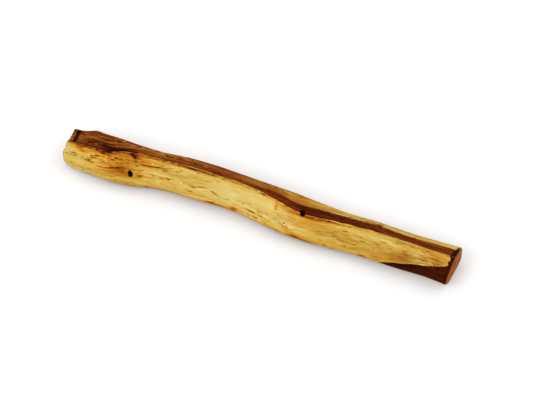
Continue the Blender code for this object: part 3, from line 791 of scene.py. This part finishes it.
    def close_ends(self, x, around, ring, nominal):
        """Round the rims, add the end faces, and settle the points and every attribute."""
        middle = ring.mean(axis=1, keepdims=True)
        arm = ring - middle
        reach = np.linalg.norm(arm, axis=-1, keepdims=True)
        ring = middle + arm * (1 - rim_inset(nominal)[..., None] / reach)
        shares = (np.arange(CAP_RINGS) + 0.5) / (CAP_RINGS + 0.5)
        caps = shares[:, None, None]
        left = middle[0] + caps * (ring[0] - middle[0])
        right = middle[-1] + caps[::-1] * (ring[-1] - middle[-1])
        ones = np.ones((CAP_RINGS, ring.shape[1]))
        x = np.concatenate([
            slanted(LEFT_END * ones, left) - self.cut_relief(left, shares, "left"),
            slanted(nominal, ring),
            slanted(RIGHT_END * ones, right) + self.cut_relief(right, shares[::-1], "right"),
        ])
        self.cut = np.concatenate([ones, np.clip(self.end_rims(nominal), 0, 1), ones])
        ring = np.concatenate([left, ring, right])
        self.points = np.concatenate([x[..., None], ring], axis=-1)
        self.around = np.concatenate([ones * around[0], around, ones * around[-1]])
        self.shade = np.concatenate([ones * 0, self.shade, ones * 0])
        self.knot_dark_and_shade = np.concatenate([ones * 0, self.knot_dark_and_shade, ones * 0])
        self.life = np.concatenate([ones, self.life, ones])
        self.warmth = np.concatenate([ones * CUT_WARMTH, self.warmth, ones * CUT_WARMTH])
        self.pale = straight(PALE_SHADE, x)
        self.dark = straight(DARK_SHADE, x)
        depth, drop = depth_and_drop(x, ring)
        under = past_pale(x, depth, drop)
        self.bare = np.where(self.cut > 0.5, under, np.concatenate([ones, self.bare, ones]))
        soft = DARK_SOFT[0] + (DARK_SOFT[1] - DARK_SOFT[0]) * smooth(x, *DARK_SOFT_TURNS)
        top = (self.around > 0) & (self.around < TOP_ENDS) & (self.cut < 0.5)
        self.past_dark = (np.where(top, self.around, under) - straight(DARK_THICKNESS, x)) / soft
        self.beyond = self.beyond_shade(x, depth)
        self.grain = self.grain_places(x, depth, drop)

    def end_rims(self, nominal):
        """1 at the rounded rims of the end faces, and 0 away from them."""
        left = 1 - smooth(nominal - LEFT_END, LEFT_MEETS, LEFT_RIM)
        return left + 1 - smooth(RIGHT_END - nominal, RIGHT_MEETS, RIGHT_RIM)

    def cut_relief(self, points, shares, end):
        """How far each point of an end face stands out of the plane of its cut."""
        y, z = np.moveaxis(points, -1, 0)
        torn = grain(y, z, z * 0 + TORN_PLACE, TORN_ENDS[end], TORN_GRAIN, TORN_GRAIN)
        saw = SAW_HEIGHT * np.cos(2 * np.pi * (y + SAW_LEAN * z) / SAW_PITCH)
        return (torn + saw) * smooth(1 - shares, 0.0, CUT_FADES)[:, None]

    def beyond_shade(self, x, depth):
        """The shade of the wood beyond the dark layer."""
        deeper = along(DEEPER_SHADE, depth)
        right = smooth(x, *DEEPER_TURNS)
        return straight(BEYOND_SHADE, x) + deeper[..., 0] * (1 - right) + deeper[..., 1] * right

    def grain_places(self, x, depth, drop):
        """Where each point lies in the wood: along the grain, across the layers, and down them."""
        run = np.clip(x, *CLIMB) - CLIMB[0]
        bend = CLIMB_SLOPE * run * np.clip(drop / CLIMB_REACH, 0.0, 1.0)
        bend = bend + grain(x, depth, drop, *WAVES)
        much, long, wide = KNOT_BEND
        for place_x, place_a, _ in KNOTS:
            near = blots([(place_x, place_a, long, wide, much)], x, self.around)
            bend = bend - (self.around - place_a) * near
        return np.stack([x, depth, drop + bend], axis=-1)


def stick_mesh(skin):
    """The closed surface: quads between the rings and a fan in the middle of each end."""
    count, around = skin.points.shape[:2]
    row = np.arange(count - 1)[:, None] * around
    here = np.arange(around)
    beside = (here + 1) % around
    ahead = row + around
    quads = np.stack([row + here, ahead + here, ahead + beside, row + beside], axis=-1)
    left, right, last = count * around, count * around + 1, (count - 1) * around
    fans = []
    for j, k in zip(here.tolist(), beside.tolist()):
        fans += [(left, j, k), (last + j, right, last + k)]
    points = np.concatenate([skin.points.reshape(-1, 3), skin.points[[0, -1]].mean(axis=1)]) * MM
    mesh = bpy.data.meshes.new("stick_wood")
    mesh.from_pydata(points.tolist(), [], quads.reshape(-1, 4).tolist() + fans)
    for name in MARKS:
        values = getattr(skin, name)
        values = np.concatenate([values.ravel(), values[[0, -1]].mean(axis=1)])
        mesh.attributes.new(name, "FLOAT", "POINT").data.foreach_set("value", values)
    values = np.concatenate([skin.grain.reshape(-1, 3), skin.grain[[0, -1]].mean(axis=1)])
    layers = mesh.attributes.new("grain", "FLOAT_VECTOR", "POINT")
    layers.data.foreach_set("vector", values.ravel())
    mesh.shade_smooth()
    mesh.set_sharp_from_angle(angle=SHARP_ANGLE)
    return mesh


def linear(colour):
    """The linear value of a colour given as the eye sees it, by the standard sRGB curve."""
    shares = [value / BRIGHTEST for value in colour]
    return [s / 12.92 if s <= 0.04045 else ((s + 0.055) / 1.055) ** 2.4 for s in shares]


class Wood:
    """The material of the stick, built node by node."""

    def __init__(self):
        self.material = bpy.data.materials.new("palo_santo_wood")
        self.material.use_nodes = True
        self.tree = self.material.node_tree
        self.shader = self.tree.nodes["Principled BSDF"]
        self.grain = self.field("grain", "Vector")
        self.build()

    def node(self, kind, inputs, **settings):
        """A node with its settings, and its inputs set to values or joined to sockets."""
        made = self.tree.nodes.new(kind)
        for name, value in settings.items():
            setattr(made, name, value)
        for name, value in inputs.items():
            if isinstance(value, bpy.types.NodeSocket):
                self.tree.links.new(value, made.inputs[name])
            else:
                made.inputs[name].default_value = value
        return made

    def field(self, name, output="Fac"):
        """An attribute of the mesh."""
        return self.node("ShaderNodeAttribute", {}, attribute_name=name).outputs[output]

    def maths(self, operation, first, second, clamp=False):
        """The result of one sum."""
        inputs = {0: first, 1: second}
        return self.node("ShaderNodeMath", inputs, operation=operation, use_clamp=clamp).outputs[0]

    def total(self, first, *others):
        """The sum of several values."""
        for other in others:
            first = self.maths("ADD", first, other)
        return first

    def product(self, first, *others):
        """The product of several values."""
        for other in others:
            first = self.maths("MULTIPLY", first, other)
        return first

    def mixed(self, share, first, second):
        """A value between two others."""
        inputs = {0: share, MIX_VALUES[0]: first, MIX_VALUES[1]: second}
        return self.node("ShaderNodeMix", inputs, data_type="FLOAT").outputs[0]

    def blended(self, share, first, second, blend_type="MIX"):
        """A colour between two others, or their product."""
        inputs = {0: share, MIX_COLOURS[0]: first, MIX_COLOURS[1]: second}
        settings = {"data_type": "RGBA", "blend_type": blend_type}
        return self.node("ShaderNodeMix", inputs, **settings).outputs[MIX_OUTPUT]

    def risen(self, value, start, end):
        """0 before start, 1 after end, and an eased rise between them."""
        inputs = {"Value": value, "From Min": start, "From Max": end}
        return self.node("ShaderNodeMapRange", inputs, interpolation_type="SMOOTHSTEP").outputs[0]

    def noise(self, name):
        """One of the noises, drawn out along the grain and centred on zero."""
        along_grain, across, down, amount, detail, start = NOISE[name]
        scale = {0: self.grain, 1: (along_grain, across, down), 2: (start, start, start)}
        place = self.node("ShaderNodeVectorMath", scale, operation="MULTIPLY_ADD").outputs[0]
        inputs = {"Vector": place, "Scale": 1.0, "Detail": detail, "Roughness": NOISE_ROUGHNESS}
        value = self.node("ShaderNodeTexNoise", inputs).outputs["Fac"]
        return self.product(self.maths("SUBTRACT", value, 0.5), amount)

    def build(self):
        """Join the layers, the marks, the grain and the surface."""
        layer = self.layers()
        broad, streak = self.noise("broad"), self.noise("streak")
        fine, hair = self.noise("fine"), self.noise("hair")
        rows = self.risen(self.noise("rows"), *ROWS_RISE)
        dash = self.product(self.risen(self.noise("dash"), *DASH_RISE), DASH_SHADE, rows)
        # Pale flecks: painted highlights on raised fibres.
        painted_glint = self.product(self.risen(self.noise("painted_glint"), *PAINTED_GLINT_RISE), PAINTED_GLINT_SHADE, rows)
        lively = self.product(self.total(streak, fine, hair, dash, painted_glint), self.field("life"))
        side_shade = self.total(layer, broad, lively, self.field("shade"))

        ends = [self.noise(name) for name in ("rings", "rays", "torn")]
        kept = self.product(layer, CUT_KEEPS)
        end_shade = self.total(kept, CUT_SHADE, broad, fine, hair, *ends)
        shade = self.mixed(self.field("cut"), side_shade, end_shade)
        shade = self.mixed(self.field("knot_dark_and_shade"), shade, KNOT_SHADE)
        self.tree.links.new(self.colour(shade), self.shader.inputs["Base Color"])

        rough = self.total(self.product(shade, ROUGH_DARK), ROUGH, self.product(fine, ROUGH_FINE))
        self.tree.links.new(rough, self.shader.inputs["Roughness"])
        self.shader.inputs["Specular IOR Level"].default_value = SHINE
        self.shader.inputs["Metallic"].default_value = 0.0

        raised = {"streak": streak, "fine": fine, "hair": hair, "dash": dash}
        height = self.total(*(self.product(raised[name], share) for name, share in BUMP.items()))
        inputs = {"Height": height, "Distance": BUMP_HEIGHT * MM, "Strength": 1.0}
        bump = self.node("ShaderNodeBump", inputs)
        self.tree.links.new(bump.outputs["Normal"], self.shader.inputs["Normal"])

    def layers(self):
        """The shade of the layer that each point lies in: pale, dark, or the wood beyond."""
        edge = self.total(self.field("bare"), self.noise("edge waves"), self.noise("edge fibres"))
        bare = self.risen(edge, *PALE_SOFT)
        past = self.total(self.field("past_dark"), self.noise("dark edge"))
        past = self.product(self.risen(past, *BEYOND_SOFT), bare)
        upper = self.mixed(bare, self.field("pale"), self.field("dark"))
        return self.mixed(past, upper, self.field("beyond"))

    def colour(self, shade):
        """The colour of each shade, tinted warmer or greener."""
        ramp = self.node("ShaderNodeValToRGB", {"Fac": shade})
        stops = ramp.color_ramp.elements
        for place, _ in COLOURS[1:-1]:
            stops.new(place)
        for stop, (_, colour) in zip(stops, COLOURS):
            stop.color = (*(GIVES_BACK * value for value in linear(colour)), 1.0)
        warm = self.maths("ADD", self.field("warmth"), TINT_MIDDLE)
        warm = self.maths("ADD", warm, self.noise("warmth"), clamp=True)
        tint = self.blended(warm, *((*tint, 1.0) for tint in TINTS))
        return self.blended(1.0, ramp.outputs["Color"], tint, "MULTIPLY")


def uv_map(mesh, count, around):
    """Lay the sides out along and round the stick, and the end faces in a band beside them."""
    layer = mesh.uv_layers.new(name="OFBake")
    vertices = np.empty(len(mesh.loops), dtype=np.int32)
    mesh.loops.foreach_get("vertex_index", vertices)
    places = np.empty(len(mesh.vertices) * 3)
    mesh.vertices.foreach_get("co", places)
    places = places.reshape(-1, 3) / MM
    quads = (count - 1) * around
    columns = np.tile(np.arange(around), count - 1)
    rows = np.repeat(np.arange(count - 1), around)
    u = np.repeat(rows, 4)
    v = np.repeat(columns, 4)
    u = (u + np.tile([0, 1, 1, 0], quads)) / (count - 1)
    v = (v + np.tile([0, 0, 1, 1], quads)) / around * SIDES_SHARE
    uv = np.zeros((len(vertices), 2))
    uv[:quads * 4] = np.stack([u, v], axis=-1)
    corner_x, corner_y, corner_z = places[vertices].T
    on_end = np.ones(len(vertices), dtype=bool)
    on_end[:quads * 4] = np.repeat((rows < CAP_RINGS) | (rows >= count - 1 - CAP_RINGS), 4)
    end_u = np.where(corner_x < 0, *ENDS_AT) + corner_y * ENDS_SCALE[0]
    end_v = ENDS_LEVEL + (corner_z - ENDS_MIDDLE) * ENDS_SCALE[1]
    uv[on_end] = np.stack([end_u, end_v], axis=-1)[on_end]
    layer.data.foreach_set("uv", uv.ravel())


def stick():
    """The one piece, in place of the CAD node."""
    skin = Skin()
    mesh = stick_mesh(skin)
    uv_map(mesh, *skin.points.shape[:2])
    mesh.materials.append(Wood().material)
    made = bpy.data.objects.new("stick_wood", mesh)
    bpy.context.scene.collection.objects.link(made)
    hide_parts("stick")
    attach(made, "root")


def floor():
    """The plain pale floor."""
    mesh = bpy.data.meshes.new("floor")
    half = FLOOR_HALF * MM
    points = [(-half, -half, 0), (half, -half, 0), (half, half, 0), (-half, half, 0)]
    mesh.from_pydata(points, [], [(0, 1, 2, 3)])
    material = bpy.data.materials.new("floor")
    material.use_nodes = True
    shader = material.node_tree.nodes["Principled BSDF"]
    shader.inputs["Base Color"].default_value = FLOOR_COLOUR
    shader.inputs["Roughness"].default_value = FLOOR_ROUGH
    shader.inputs["Specular IOR Level"].default_value = 0.0
    mesh.materials.append(material)
    made = bpy.data.objects.new("floor", mesh)
    bpy.context.scene.collection.objects.link(made)


def lights():
    """A pale sky and two large soft lights."""
    scene = bpy.context.scene
    if scene.world is None:
        scene.world = bpy.data.worlds.new("studio")
    scene.world.use_nodes = True
    background = scene.world.node_tree.nodes["Background"]
    background.inputs["Color"].default_value = WORLD_COLOUR
    background.inputs["Strength"].default_value = WORLD_LIGHT
    for name, (place, width, power) in LIGHTS.items():
        light = bpy.data.lights.new(name, "AREA")
        light.size = width * MM
        light.energy = power
        lamp = bpy.data.objects.new(name, light)
        lamp.location = Vector(place) * MM
        lamp.rotation_euler = (-lamp.location).to_track_quat("-Z", "Y").to_euler()
        scene.collection.objects.link(lamp)
    scene.view_settings.view_transform = "Standard"


def camera():
    """The camera, at the photograph's viewing angle."""
    made = bpy.data.cameras.new("camera")
    made.lens = CAMERA_LENS
    made.clip_start, made.clip_end = CLIP[0] * MM, CLIP[1] * MM
    lens = bpy.data.objects.new("camera", made)
    back = Vector((
        math.sin(CAMERA_AZIMUTH) * math.cos(CAMERA_ELEVATION),
        -math.cos(CAMERA_AZIMUTH) * math.cos(CAMERA_ELEVATION),
        math.sin(CAMERA_ELEVATION),
    ))
    lens.location = (Vector(CAMERA_AIM) + back * CAMERA_DISTANCE) * MM
    lens.rotation_euler = (math.pi / 2 - CAMERA_ELEVATION, 0.0, CAMERA_AZIMUTH)
    bpy.context.scene.collection.objects.link(lens)
    bpy.context.scene.camera = lens


camera()
lights()
floor()
stick()
